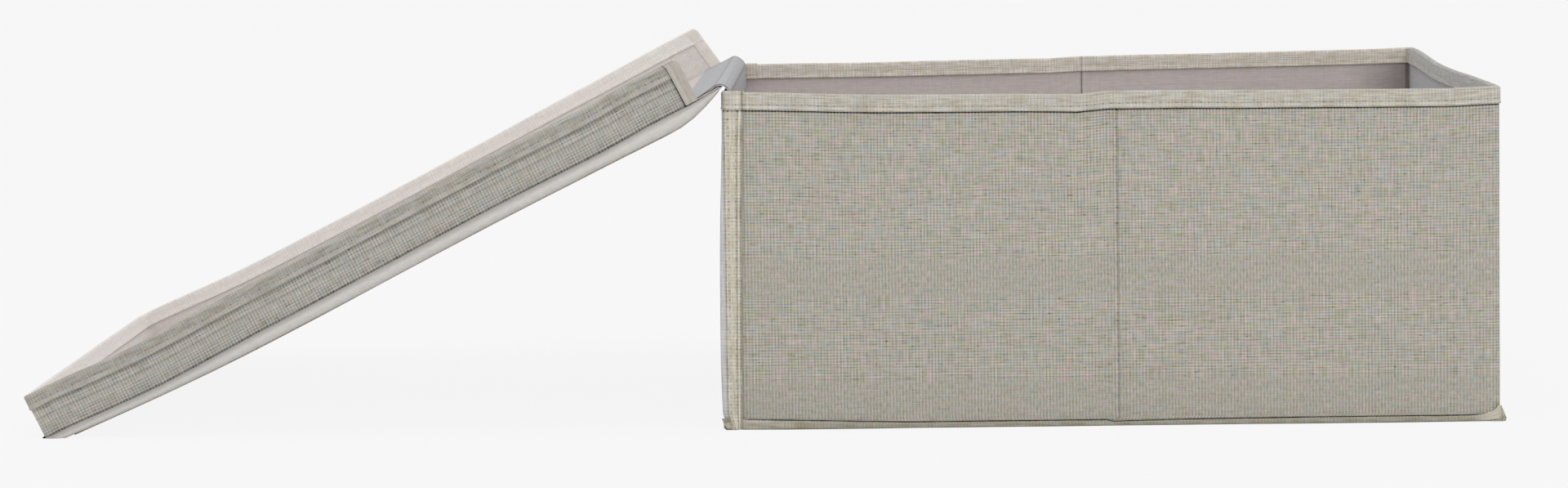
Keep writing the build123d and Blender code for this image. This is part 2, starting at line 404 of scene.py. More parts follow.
def woven(name, slot, yarns, pitch=(1.69, 1.5), grid=(0.15, 0.13), streaks=0.4, bands=0.07, slubs=0.20,
        specks=0.35, rows=(), columns=(), seams=(), folds=(), inside=None, middle=None, roughness=0.92):
    """Plain-woven cloth. yarns are its three colours, and pitch is one pair of threads along and across.
    rows and columns are stitched lines, across and along the cloth. The next two are lines of painted shade
    across and along the cloth, as (place, width, strength); a negative strength paints a highlight. inside
    is (place, colour), for a folded tape's side beyond a place across it. All these are in millimetres.
    middle is half the length, in metres, of a strip whose painted lines across fade out towards its ends."""
    finish = Finish(name, roughness, sheen=0.1)
    along = finish.attribute("along")
    across = finish.attribute("across")
    warp = along / (pitch[0] * MM)
    weft = across / (pitch[1] * MM)

    def mottle(warp_share, weft_share, seed, detail=0.0):
        return finish.noise(warp * warp_share, weft * weft_share, seed, detail)

    warp_yarn = mottle(2.6, 0.16, 3.1)
    weft_yarn = mottle(0.16, 2.6, 7.7)
    warp_band = mottle(0.5, 0.03, 13.7, 2.0)
    weft_band = mottle(0.05, 0.5, 17.3, 2.0)
    patch = mottle(0.22, 0.7, 23.9, 2.0)
    tint = mottle(0.3, 0.5, 29.3, 3.0)
    warp_wave = (warp * math.tau).math("COSINE") * (warp_band * 1.6 + 0.2)
    weft_wave = (weft * math.tau).math("COSINE") * (weft_band * 1.6 + 0.2)
    first, second, third = (colour(*yarn) for yarn in yarns)
    yarn = finish.blend(finish.ramp(warp_yarn * 0.25 + patch * 0.75, 0.41, 0.59), first, second)
    yarn = finish.blend(finish.ramp(weft_yarn * 0.25 + tint * 0.75, 0.45, 0.61) * 0.7, yarn, third)
    tone = 1.0 + grid[0] * warp_wave + grid[1] * weft_wave
    tone = tone + streaks * (warp_yarn + weft_yarn - 1.0)
    tone = tone + bands * (warp_band + weft_band * 1.3 - 1.15)
    if slubs:
        tone = tone - slubs * finish.ramp(mottle(0.35, 1.9, 31.0), 0.60, 0.76)
    if specks:
        tone = tone - specks * finish.ramp(mottle(0.64, 1.0, 41.0), 0.79, 0.84)
    height = (warp_wave + weft_wave) * 0.5 + warp_yarn + weft_yarn
    for places, way, beside in ((rows, along, across), (columns, across, along)):
        for place in places:
            beat = way / STITCH
            off = beside - place * MM
            part = (beat - beat.math("ROUND")) * STITCH
            far = (part * part + off * off).math("SQRT")
            seen = 0.2 + finish.noise(beat / 2.3, place, 5.0) * 1.2
            hole = finish.line(far, 0.2 * MM, 0.55 * MM) * seen
            line = finish.line(off, 0.2 * MM, 0.8 * MM)
            tone = tone - hole * 0.5 - line * 0.04
            height = height - line * 3.0 - hole * 4.0
    # Painted shade in lines across the cloth; a negative strength paints a highlight
    for place, wide, strength in seams:
        line = finish.line(across - place * MM, 0.1 * MM, wide * MM) * strength
        if middle:
            line = line * finish.line(along - middle, middle - 16 * MM, middle - 10 * MM)
        tone = tone - line
    # Painted shade in lines along the cloth; a negative strength paints a highlight
    for place, wide, strength in folds:
        tone = tone - finish.line(along - place * MM, 0.1 * MM, wide * MM) * strength
    if inside:
        place, light = inside
        inner = finish.ramp(across, (place - 0.5) * MM, (place + 0.5) * MM)
        yarn = finish.blend(inner, yarn, colour(*light))
        tone = 1 + (tone - 1) * (1 - 0.6 * inner)
    return finish.end(finish.shade(yarn, tone), height), slot


def smooth_cloth(name, light, slot="lining_cloth", relief=1.0, **lines):
    """Finer cloth in one pale colour, in which the weave hardly shows."""
    red, green, blue = light
    yarns = (light, (red - 7, green - 7, blue - 6), (red - 3, green - 2, blue + 1))
    return woven(name, slot, yarns, (1.2, 1.1), grid=(0.012 * relief, 0.01 * relief), streaks=0.10 * relief,
            bands=0.10 * relief, slubs=0.0, specks=0.0, **lines)


def tape_finish(name, light, **lines):
    """Woven tape. Its stitched rows and its lines of painted shade are given by how far across the tape they
    are.
    """
    red, green, blue = light
    yarns = (light, (red - 12, green - 13, blue - 16), (red - 8, green - 2, blue + 6))
    return woven(name, "binding_tape", yarns, (1.69, 1.2), grid=(0.07, 0.05), streaks=0.5, bands=0.10,
            slubs=0.10, specks=0.0, **lines)


CREASE_X = 2.0 * MM
# How far along the lips' cloth the near corner of the lid's tip is, in millimetres
TIP_CORNER = 385
LINEN_YARNS = ((163, 162, 142), (174, 161, 156), (155, 160, 156))
LID_YARNS = ((165, 163, 151), (170, 162, 156), (158, 161, 158))
LINEN = woven("linen_look_cloth", "linen_cloth", LINEN_YARNS)
# Painted shadow just under the rim tape, and a painted highlight and painted shade across the crease's sewn
# ridge
SIDE_LINEN = woven("linen_look_side_cloth", "linen_cloth", LINEN_YARNS, columns=[2.8],
        seams=[((RIM_LOW - WALL_LOW) / MM - 0.35, 0.8, 0.9)],
        folds=[(1.8, 0.8, -0.14), (3.2, 0.7, 0.3)])
# Painted shade on the lips' linen: a dark line and a wider shade at its foot by the pad, a shadow line under
# the hem and a line beside the end binding; a painted highlight on the tip's rounded corner
LIP_LINEN = woven("linen_look_lip_cloth", "linen_cloth", LID_YARNS,
        seams=[(24, 1.3, 0.5), (24, 10, 0.11), (7.6, 0.7, 0.33), (7.6, 2.8, 0.08)],
        folds=[(6.4, 0.9, 0.9), (TIP_CORNER, 7, -0.32)])
LINING = smooth_cloth("lining_cloth", (196, 187, 183))
# The lining by the far front corner is the same lining cloth, coloured much darker: painted shade
SHADED_CORNER_LINING = smooth_cloth("corner_lining_painted_shade", (126, 118, 114))
# Painted shade along the crease, and painted shade darkening the lining towards the front corner
SIDE_LINING = smooth_cloth("side_lining_cloth", (196, 187, 183),
        folds=[(CREASE_X / MM, 0.9, 0.6), (HALF_L / MM, 44, 0.42)])
LIP_LINING = smooth_cloth("lip_lining_cloth", (216, 209, 204))
# The front wall's lining is the same lining cloth, smoother, and coloured darker and bluer: painted shade
SHADED_FRONT_LINING = smooth_cloth("smooth_front_lining_painted_shade", (175, 174, 176), relief=0.3)
HINGE_CLOTH = smooth_cloth("smooth_hinge_cloth", (167, 167, 169), "hinge_cloth", relief=0.3, roughness=0.8)
# The hinge cloth's hems are the same cloth, coloured lighter: a painted highlight along them
LIT_HINGE_HEM = smooth_cloth("smooth_hinge_hem_painted_light", (186, 184, 183), "hinge_cloth", relief=0.3, roughness=0.8)
BOTTOM_CLOTH = smooth_cloth("bottom_cloth", (150, 148, 145), "bottom_cloth")

TAPE_ROWS = [1.9, 20.2]
# Painted highlight along the rim tape's rolled lower edge
ROLLED_EDGE_HIGHLIGHT = (0.8, 0.8, -0.12)
# The near rim tape, with a painted highlight near its hinge end
RIM_TAPE = tape_finish("rim_tape", (184, 178, 166), rows=TAPE_ROWS, seams=[ROLLED_EDGE_HIGHLIGHT],
        folds=[(12.5 - HALF_L / MM, 1.5, -0.1)])
# The rim tape where it wraps round the hinge wall's corner, coloured lighter: painted highlight; along it a
# painted shade line at the corner's fold and painted highlights beside it
WRAP_TAPE = tape_finish("corner_rim_tape", (193, 186, 173), rows=TAPE_ROWS, seams=[ROLLED_EDGE_HIGHLIGHT],
        folds=[(0.9, 1.4, 0.42), (3.3, 1.2, -0.1), (9, 3, -0.12)])
# The far side's rim tape is the same tape as the near side's, coloured lighter: painted light, with a
# painted shade line along the crease
LIT_FAR_WRAP_TAPE = tape_finish("far_corner_tape", (197, 188, 175), rows=TAPE_ROWS)
LIT_FAR_RIM_TAPE = tape_finish("far_rim_tape_painted_light", (205, 197, 185), rows=TAPE_ROWS, folds=[(CREASE_X / MM, 0.7, 0.45)])
# A darker band over the front rim tape's top: painted shade
FRONT_TAPE = tape_finish("front_rim_tape", (180, 178, 173), rows=TAPE_ROWS, seams=[(11, 2.6, 0.2)])
# Painted shadow just under the rim tape, and across the tape painted shade lines at its edge, beside its
# bead and at its fold, with a painted highlight on its bead
CORNER_TAPE = tape_finish("corner_tape", (199, 192, 176), rows=[2.9, 8.4],
        folds=[(RIM_LOW / MM - 0.9, 0.8, 0.6)], inside=(10.8, (196, 194, 194)),
        seams=[(0, 0.4, 0.5), (0.7, 0.5, -0.2), (1.9, 0.9, 0.4), (10.3, 0.5, 0.35)])
# Painted highlight along the binding's roll and painted shadow where it meets the wall's cloth
BOTTOM_SHADE_LINES = [(8.9, 0.7, -0.15), (10, 0.7, 0.9)]
# The bottom binding, with a painted highlight over 45 mm at the hinge end and 14 mm at the front ear
BOTTOM_TAPE = tape_finish("bottom_tape", (158, 152, 137), seams=BOTTOM_SHADE_LINES, middle=EAR.x,
        folds=[(4, 45, -0.3), (2 * EAR.x / MM - 6, 14, -0.55)])
BOTTOM_END_TAPE = tape_finish("bottom_end_tape", (160, 155, 141), seams=BOTTOM_SHADE_LINES, middle=EAR.y)
# Painted highlights along the hem's rolled edges, and a painted shade line beside the end binding
HEM_TAPE = tape_finish("hem_tape", (163, 158, 149), rows=[2.3], inside=(9, (222, 217, 213)),
        seams=[(0.7, 0.7, -0.12), (1.6, 1.5, -0.09), (7.6, 1.8, -0.15)],
        folds=[(6.4, 0.7, 0.6)])
# A painted highlight on the end binding's bead and a painted shade line beside it
END_SHADE_LINES = [(0.5, 0.6, -0.12), (2.6, 0.5, 0.16)]
NEAR_END_TAPE = smooth_cloth("near_end_tape", (177, 170, 161), "binding_tape", seams=END_SHADE_LINES)
# The far lip's end binding is the same tape as the near one's, coloured much lighter: painted light
LIT_FAR_END_TAPE = smooth_cloth("far_end_tape_painted_light", (221, 215, 206), "binding_tape", seams=END_SHADE_LINES)


def board_finish():
    finish = Finish("grey_board", roughness=0.95)
    place = finish.node("ShaderNodeTexCoord", output="Object")
    fibre = finish.node("ShaderNodeTexNoise", sockets={"Vector": place, "Scale": 900.0, "Detail": 4.0})
    base = finish.blend(finish.ramp(fibre, 0.3, 0.7), colour(132, 126, 116), colour(152, 146, 136))
    return finish.end(base, fibre), "grey_board"


BOARD = board_finish()


# How the soft box stands: its bowed front wall, and its rim, which isn't level

CORNER_RUN = 9 * MM
FRONT_BOW = 5.0 * MM
# How much higher the corners of the near and the far side stand, at the hinge wall and at the front
CORNER_RISES = ((1.2 * MM, -0.7 * MM), (-2.6 * MM, 2.6 * MM))
CREASE_SAG, REAR_SAG, FRONT_SAG = 0.9 * MM, 2.0 * MM, 1.1 * MM
FAR_SHARE = 0.4
FAR_LEAN = 2.4 * MM


def within(share):
    """The share, but at least 0 and at most 1."""
    return min(1.0, max(0.0, share))


def rise(distance, over):
    """0 to 1 with soft ends as a distance grows from nothing to over."""
    share = within(distance / over)
    return share * share * (3 - 2 * share)


def front_bow(point):
    """The front wall bows in a little between its corners."""
    share = within(abs(point.y) / (HALF_W - CORNER_RUN))
    bow = FRONT_BOW * math.cos(share * math.pi / 2) ** 2 * (0.4 + 0.6 * point.z / RIM_TOP)
    return point - Vector((bow, 0, 0))


def rim_sag(x):
    """How far the near rim hangs at a place: the crease a little, and each panel between its ends."""
    crease_sag = CREASE_SAG * math.exp(-((x - CREASE_X) / (30 * MM)) ** 2)
    if x < CREASE_X:
        return crease_sag + REAR_SAG * rise(x + HALF_L, 90 * MM) * rise(CREASE_X - x - 3 * MM, 18 * MM)
    return crease_sag + FRONT_SAG * rise(HALF_L - x, 30 * MM) * rise(x - CREASE_X, 70 * MM)


def settle(point):
    """The rim's corners stand a little high or low, the sides sag between them, and the hinge wall leans out
    at its far end."""
    forward = within(point.x / (2 * HALF_L) + 0.5)
    away = within(point.y / (2 * HALF_W) + 0.5)
    near, far = (hinge * (1 - forward) + front * forward for hinge, front in CORNER_RISES)
    sag = rim_sag(point.x) * (within(1 - 2 * away) + FAR_SHARE * within(2 * away - 1))
    lean = FAR_LEAN * away * (1 - forward) ** 6
    return point + Vector((-lean, 0, near * (1 - away) + far * away - sag)) * within(point.z / RIM_TOP) ** 2


# Where the walls' cloth crosses the joints: each is the two bodies, and where the bend starts and ends.
# The far front corner is the open pivot, so its cloth stays put on the front wall.

CREASE_END = 0.4 * MM
NEAR_FRONT_CORNER = ("near_front_panel", "front_wall", (SIDE_END - 1 * MM, -HALF_W, 0),
        (HALF_L, 5 * MM - HALF_W, 0))


def crease(side):
    y = side * HALF_W
    return (f"{WORD[side]}_rear_panel", f"{WORD[side]}_front_panel", (-1.5 * MM, y, 0), (CREASE_END, y, 0))


def hinge_corner(side):
    y = side * HALF_W
    return ("hinge_wall", f"{WORD[side]}_rear_panel", (-HALF_L + 1 * MM, y, 0), (-SIDE_END + 3 * MM, y, 0))


# Making a piece part of the model

def dress(piece, finish, rides, nodes=(), over=()):
    """Gives a piece its material, its body or the two it bends between, and hides the nodes that it stands
    for. over, what cloth stretched over something lies on, is not used."""
    material, slot = finish
    piece.data.materials.append(material)
    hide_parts(*nodes)
    if over:
        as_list(over)
    if isinstance(rides, str):
        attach(piece, rides)
    else:
        body_a, body_b, start, end = rides
        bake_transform(piece, body_a, body_b, start=start, end=end)
    return piece


def sew(name, finish, rides, end, way, nodes=(), over=(), changes=(settle,), thickness=None, then=None,
        **drawn):
    """A strip of cloth drawn out, moved on by then if that is given, and dressed."""
    piece = strip(name, end, way, thickness or THICKNESS[finish[1]], changes=changes, **drawn)
    if then:
        then(piece)
    return dress(piece, finish, rides, nodes, over)


def board(name, node, rides, changes, corners=None):
    """A board, bent as the cloth over it is."""
    low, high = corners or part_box(node)
    piece = block(name, low, high, (STEP, STEP, 20 * MM))
    reshape(piece, *changes)
    return dress(piece, BOARD, rides, [node])


def wall_boards():
    for word in WORD.values():
        for half in ("rear", "front"):
            board(f"{word}_{half}_board", f"{word}_{half}_panel_board", f"{word}_{half}_panel", [settle])
    board("front_board", "front_wall_board", "front_wall", [front_bow, settle])
    low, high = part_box("hinge_wall_board")
    high.z = RIM_TOP - 3 * MM
    board("hinge_side_board", "hinge_wall_board", "hinge_wall", [settle], (low, high))


# A side wall's layers, of which the far ones end short of the front corner

CORNER_R = 4.6 * MM
STRAIGHT_END = HALF_L - CORNER_R
FAR_SPLIT = STRAIGHT_END - 0.6 * MM


def round_front_corner(side, radius):
    """The way round the front corner and on along the front wall."""
    return [turn(STRAIGHT_END, side * (HALF_W - CORNER_R), -90 * side, radius),
            go(y=-side * (CORNER_RUN - CORNER_R))]


def side_layer(side, part, finish, end_at, rear, corner, ridge=(), ridge_end=CREASE_END, **drawn):
    """One layer of a side wall in two pieces, which meet at the crease. end_at gives a piece's end. rear is
    where the rear piece starts, what its weave counts from and its way. corner is where the near layer
    leaves the wall and its way from there. ridge is how the front piece starts."""
    word = WORD[side]
    node = "cover" if part == "cloth" else part
    last, round_corner = corner if side < 0 else (FAR_SPLIT, [])
    front_rides = NEAR_FRONT_CORNER if side < 0 else "far_front_panel"
    front = (CREASE_END, CREASE_END, [*ridge, go(last - ridge_end), *round_corner])
    for half, rides, (x, along, way) in (("rear", crease(side), rear), ("front", front_rides, front)):
        over = [] if part == "rim_tape" else [f"{word}_{half}_board"]
        sew(f"{word}_{half}_{part}", finish, rides, end_at(x), way, [f"{word}_{half}_panel_{node}"], over,
            along=along, **drawn)


# Outer cloth of the walls

CLOTH_TOP = RIM_TOP - 2 * MM
SIDE_Y = HALF_W - CLOTH_T / 2
CLOTH_R = CORNER_R - CLOTH_T / 2


def side_cloth(side):
    """A side wall's outer cloth, with the sewn ridge just past its crease."""
    out = 0.6 * MM * side
    ridge = [go(x * MM, share * out) for x, share in ((0.7, 0), (0.4, 1), (0.8, 0), (0.3, -1.3), (0.7, 0.3))]
    rear_way = [go(SIDE_END - 2 * MM), go(2 * MM + CREASE_END, step=0.8 * MM)]
    side_layer(side, "cloth", SIDE_LINEN, lambda x: upright(x, side * SIDE_Y, CLOTH_TOP),
            (-SIDE_END, -SIDE_END, rear_way), (STRAIGHT_END, round_front_corner(side, CLOTH_R)), ridge,
            CREASE_END + 2.9 * MM)


def end_walls_cloth():
    sew("far_corner_cloth", SIDE_LINEN, "front_wall", upright(FAR_SPLIT, SIDE_Y, CLOTH_TOP),
        [go(STRAIGHT_END - FAR_SPLIT), *round_front_corner(1, CLOTH_R)], along=FAR_SPLIT)
    run = HALF_W - CORNER_RUN
    sew("front_wall_cloth", SIDE_LINEN, "front_wall", upright(HALF_L - CLOTH_T / 2, -run, CLOTH_TOP),
        [go(y=2 * run)], ["front_wall_cover"], ["front_board"], [front_bow, settle], along=HALF_L)
    run = HINGE_WALL_END - 1 * MM
    sew("hinge_wall_cloth", LINEN, "hinge_wall", upright(CLOTH_T / 2 - HALF_L, -run, CLOTH_TOP),
        [go(y=2 * run)], ["hinge_wall_cover"], ["hinge_side_board"], seed=3.0)


# Lining of the walls

LINING_TOP = RIM_TOP - 1.5 * MM
LINING_IN = WALL_T - LINING_T / 2
LINING_Y = HALF_W - LINING_IN
LINING_X = HALF_L - LINING_IN
LINING_RUN = 5 * MM
LINING_CORNER = 4 * MM


def side_lining(side):
    y = side * LINING_Y
    rear_way = [go(LINING_X - 4 * MM), go(2 * MM + CREASE_END, step=0.8 * MM)]
    side_layer(side, "lining", SIDE_LINING, lambda x: upright(x, y, LINING_TOP),
            (2 * MM - LINING_X, -LINING_X, rear_way), (LINING_X, [go(y=LINING_RUN, step=2 * MM)]))
    corner = side * LINING_CORNER
    sew(f"{WORD[side]}_rear_corner_lining", SIDE_LINING, hinge_corner(side),
        upright(-LINING_X, y - corner, LINING_TOP), [go(y=corner, step=2 * MM), go(2 * MM, step=1 * MM)])


def end_walls_lining():
    sew("far_corner_lining", SHADED_CORNER_LINING, "front_wall", upright(FAR_SPLIT, LINING_Y, LINING_TOP),
        [go(LINING_X - FAR_SPLIT, step=1 * MM), go(y=-LINING_RUN, step=2 * MM)])
    run = LINING_Y - LINING_RUN
    sew("front_lining", SHADED_FRONT_LINING, "front_wall", upright(LINING_X, -run, LINING_TOP), [go(y=2 * run)],
        ["front_wall_lining"], ["front_board"], [front_bow, settle])
    run = LINING_Y - LINING_CORNER
    sew("hinge_side_lining", LINING, "hinge_wall", upright(-LINING_X, -run, LINING_TOP - 2 * MM, EAR.z),
        [go(y=2 * run)], ["hinge_wall_lining"], ["hinge_side_board"])


# Rim tapes: a folded tape over each wall's top edge, with rolled lower edges

RIM_UNEVEN = 0.15 * MM


def rim_fold(outward=0.0):
    """The rim tape's section, as (distance in from the wall's outer face, height)."""
    past = TAPE_T / 2 + outward
    heights = [RIM_LOW + up * MM for up in (0.2, 0.4, 1.1, 1.6, 4)]
    return folded_tape(-past, WALL_T + past, heights, RIM_TOP - TAPE_T / 2 + outward, 1.0 * MM)


def side_rim_end(x, side, outward=0.0):
    return [(x, side * (HALF_W - inward), z) for inward, z in rim_fold(outward)]


def side_rim(side):
    start = -SIDE_END + 0.5 * MM
    rear_way = [go(-start - 1.5 * MM), go(1.5 * MM, step=0.7 * MM), go(CREASE_END)]
    side_layer(side, "rim_tape", RIM_TAPE if side < 0 else LIT_FAR_RIM_TAPE, lambda x: side_rim_end(x, side),
            (start, start, rear_way), (STRAIGHT_END, round_front_corner(side, CORNER_R)),
            uneven=RIM_UNEVEN)
    wrap = 10.5 * MM
    round_corner = turn(-STRAIGHT_END, side * (HALF_W - CORNER_R), 90 * side, CORNER_R)
    sew(f"{WORD[side]}_rear_corner_rim_tape", WRAP_TAPE if side < 0 else LIT_FAR_WRAP_TAPE, hinge_corner(side),
        side_rim_end(-HALF_L + wrap, side, 0.5 * MM),
        [go(CORNER_R - wrap, step=2 * MM), round_corner, go(y=-side * 4 * MM)], uneven=0.3 * MM)


def end_walls_rim():
    sew("far_corner_rim_tape", RIM_TAPE, "front_wall", side_rim_end(FAR_SPLIT, 1),
        [go(STRAIGHT_END - FAR_SPLIT), *round_front_corner(1, CORNER_R)], along=FAR_SPLIT)
    run = HALF_W - CORNER_RUN
    sew("front_rim_tape", FRONT_TAPE, "front_wall", [(HALF_L - inward, -run, z) for inward, z in rim_fold()],
        [go(y=2 * run)], ["front_wall_rim_tape"], changes=[front_bow, settle], uneven=RIM_UNEVEN)
    run = HALF_W - 6 * MM
    over_the_top = rim_fold()[:8] + [(2.3 * MM, RIM_TOP - 0.9 * MM)]
    sew("hinge_side_rim_tape", RIM_TAPE, "hinge_wall",
        [(-HALF_L + inward, -run, z) for inward, z in over_the_top], [go(y=2 * run)],
        ["hinge_wall_rim_tape"], uneven=RIM_UNEVEN)


# Upright tapes at the two corners beside the hinge wall. Their plan is in millimetres, in from the wall's
# outer face and out from the tape's own.

CORNER_PLAN = ((10, -0.2), (9.85, 0.35), (9.1, 0.35), (8.5, 0), (5, 0), (1.6, 0), (0.9, 0.2), (0, 0.1),
        (-0.15, -0.7), (-0.5, -1.2), (-0.7, -2.4), (-0.6, -6), (-0.4, -10))


def corner_tape(side):
    face = HINGE_WALL_END + TAPE_T / 2
    low = 0.6 * MM
    high = CORNER_TAPE_TOP + 1 * MM

    def worn(point):
        """The tape gets narrower downwards, and its leg on the hinge wall stands off."""
        down = 1 - within((point.z - low) / (high - low))
        on_side = within((point.x + HALF_L - 1 * MM) / (8 * MM))
        off_wall = within((-HALF_L - 0.1 * MM - point.x) / (0.5 * MM))
        share = rise(high - point.z, 90 * MM) * rise(point.z + 2 * MM, 10 * MM)
        foot = rise(9 * MM - point.z, 8 * MM)
        tuck = 2.4 * MM * foot * (1 - on_side)
        across = tuck - 2.6 * MM * on_side * down ** 0.5 - 2.1 * MM * off_wall * share
        return point + Vector((across, side * 2.0 * MM * foot * (1 - off_wall), 0))

    sew(f"{WORD[side]}_corner_binding_tape", CORNER_TAPE, hinge_corner(side),
        [(x * MM - HALF_L, side * (face + y * MM), low) for x, y in CORNER_PLAN],
        [go(z=10 * MM, step=1.5 * MM), go(z=high - low - 10 * MM)], [f"{WORD[side]}_corner_tape"],
        changes=[worn, settle], uneven=0.25 * MM)


# Bottom: the bound seam with its pointed corners, the strip of cloth that it holds, and the bottom cloth.
# The binding's fold is the leg under the bottom, the roll, and the lip that stands against the wall's cloth,
# as (distance out from the wall's face, height).

ROLL_TOP = 3.3 * MM
SEAM_LIP = 0.7 * MM
BOTTOM_LOW = 0.4 * MM
BOTTOM_FOLD = [(-5 * MM, BOTTOM_LOW), (0.6 * MM, BOTTOM_LOW), (1.6 * MM, 1.0 * MM), (1.7 * MM, 2.2 * MM),
        (1.1 * MM, 2.9 * MM), (0.55 * MM, ROLL_TOP), (0.35 * MM, ROLL_TOP + SEAM_LIP)]
SEAM_HEIGHT = 3.4 * MM


def flatten(piece):
    """Gives the piece its own copy of its mesh."""
    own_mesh(piece)


def near_seam_height(x):
    """How high the near side's binding stands: least just before the crease, and most at the hinge wall."""
    rear = 1.7 * MM + 4.3 * MM * max(0.0, (CREASE_X - x) / HALF_L) ** 1.5
    front = 2.6 * MM + 1.0 * MM * (1 - math.exp(-max(0.0, x - CREASE_X) / (40 * MM)))
    share = rise(x - CREASE_X + 10 * MM, 10 * MM)
    return rear * (1 - share) + front * share


def bound_seam(side, lengthways):
    """How the drawn binding is shaped: its height along the seam, the pointed ears at the front corners, and
    the worn corners at the hinge wall."""
    def change(point):
        run, end = (point.x, EAR.x) if lengthways else (point.y, EAR.y)
        to_corner = max(0.0, end - abs(run) - 3 * MM)
        ear = math.exp(-to_corner / (5 * MM))
        height = near_seam_height(point.x) if lengthways and side < 0 else SEAM_HEIGHT
        if point.x > 0:
            height += 4.7 * MM * ear
        else:
            height = max(height, SEAM_HEIGHT + 2.6 * MM * math.exp(-to_corner / (12 * MM)))
        roll_top = height - SEAM_LIP
        z = roll_top + point.z - ROLL_TOP
        if point.z < ROLL_TOP:
            z = BOTTOM_LOW + (point.z - BOTTOM_LOW) * (roll_top - BOTTOM_LOW) / (ROLL_TOP - BOTTOM_LOW)
        z = max(0.36 * MM, z)
        if point.x > 0:
            reach = 3.5 * MM * max(0.0, 1 - z / (8.5 * MM)) - 1.5 * MM * max(0.0, 1 - z / (1.4 * MM))
        else:
            reach = -0.8 * MM + 4.0 * MM * min(1.0, z / (6 * MM)) ** 0.7
        wall, face = (HALF_L, HALF_W) if lengthways else (HALF_W, HALF_L)
        off = side * (point.y if lengthways else point.x) - face
        if point.x > 0 and off > 0:
            off *= 1 - 0.85 * min(1.0, z / (8 * MM)) * ear
        start = wall - 4.5 * MM
        past = max(0.0, abs(run) - start)
        run = math.copysign(min(abs(run), start) + past * (wall + reach - start) / (end - start), run)
        off = side * (face + off)
        return Vector((run, off, z) if lengthways else (off, run, z))
    return change


def seam_cloth():
    """The lowest edge of the outer cloth, which the binding holds when the walls fold away over it."""
    corner_x = HALF_L - CLOTH_T / 2
    turn_y = HALF_W - CORNER_R
    way = [go(corner_x + STRAIGHT_END), turn(STRAIGHT_END, -turn_y, 90, CLOTH_R), go(y=2 * turn_y),
           turn(STRAIGHT_END, turn_y, 90, CLOTH_R), go(-corner_x - STRAIGHT_END), go(y=1 * MM - 2 * SIDE_Y)]
    end = upright(-corner_x, -SIDE_Y, WALL_LOW, 0.8 * MM, 1.2 * MM)
    return sew("seam_cloth", LINEN, "hinge_wall", end, way, changes=(), along=-HALF_L)


def bottom():
    ears = 8 * MM
    for name, side in (("near", -1), ("far", 1), ("hinge", -1), ("front", 1)):
        lengthways = name in WORD.values()
        if lengthways:
            finish = BOTTOM_TAPE
            end = [(-EAR.x, side * (HALF_W + away), z) for away, z in BOTTOM_FOLD]
            way = [go(ears, step=1 * MM), go(2 * EAR.x - 2 * ears, step=4 * MM), go(ears, step=1 * MM)]
        else:
            finish = BOTTOM_END_TAPE
            end = [(side * (HALF_L + away), -EAR.y, z) for away, z in BOTTOM_FOLD]
            way = [go(y=ears, step=1 * MM), go(y=2 * EAR.y - 2 * ears), go(y=ears, step=1 * MM)]
        flatten(sew(f"{name}_bottom_binding", finish, "hinge_wall", end, way, ["bottom_binding"],
                changes=[bound_seam(side, lengthways)]))
    room = 2 * MM
    end = level(room - HALF_L, HALF_W - 3 * MM, 0.5 * MM, 2)
    flatten(sew("bottom_cloth", BOTTOM_CLOTH, "hinge_wall", end, [go(2 * (HALF_L - room), step=20 * MM)],
            ["bottom_cover"], ["hinge_bottom_binding"], (), uneven=0.1 * MM))
    flatten(seam_cloth())


def base():
    low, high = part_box("base_wrap")
    piece = block("base_board_wrap", low, high, (25 * MM, 25 * MM))
    lay_weave(piece)
    apply_modifier(piece, "BEVEL", width=0.8 * MM, segments=3, limit_method="ANGLE",
            angle_limit=math.radians(50))
    ripple(piece, 0.2 * MM, 40 * MM, seed=9.0)
    smooth(piece)
    dress(piece, LINING, "base_board", ["base_wrap"])


# The lid is made as if it were shut, then opened

LID_BOW = 3 * MM


def shut_box(node):
    """(lowest corner, highest corner) of a lid node as it lies when the lid is shut."""
    points = [OPENING.inverted() @ vert.co for vert in frame["nodes"][node].data.vertices]
    return [Vector([edge(point[axis] for point in points) for axis in range(3)]) for edge in (min, max)]


def bow_lid(point):
    """The open lid hangs in a slight bow, and its pad is pressed thinner towards the tip, most on the near
    side. The far lip is a little taller at its hinge end."""
    away = point.x - HINGE.x
    bow = LID_BOW * math.sin(math.pi * within((away - 110 * MM) / (275 * MM)) ** 1.6)
    press = 1.4 * MM * rise(away - 40 * MM, 40 * MM) + 2.4 * MM * rise(away - 270 * MM, 80 * MM)
    press *= 0.7 - 0.3 * point.y / LID_HIGH.y
    inside = within((LID_HIGH.z - point.z) / (LID_HIGH.z - LID_LOW.z - 3 * MM))
    down = max(0.0, (LID_LOW.z - point.z) / (LID_LOW.z - LIP_FREE))
    taller = 2.6 * MM * down * (1 - rise(away - 20 * MM, 160 * MM)) if point.y > 0 else 0.0
    return point + Vector((0, 0, bow + press * inside - taller))


def open_up(piece):
    """Turns a piece that was made as if the lid were shut to where it is on the open lid."""
    reshape(piece, bow_lid)
    piece.data.transform(OPENING)
    piece.data.update()


def settle_fold(point):
    """The fold goes high and low with the wall, and less and less so along the lid."""
    share = within(1 + (point.x - FOLD_TOP[0]) / (14 * MM))
    return point + (settle(point) - point) * share


def open_up_at_hinge(piece):
    """Opens a piece that starts at the hinge, where it goes high and low with the fold."""
    open_up(piece)
    reshape(piece, settle_fold)


# Cloth hinge: down the hinge wall's inside, over the hinge line in a soft hump, and along the lid's inside

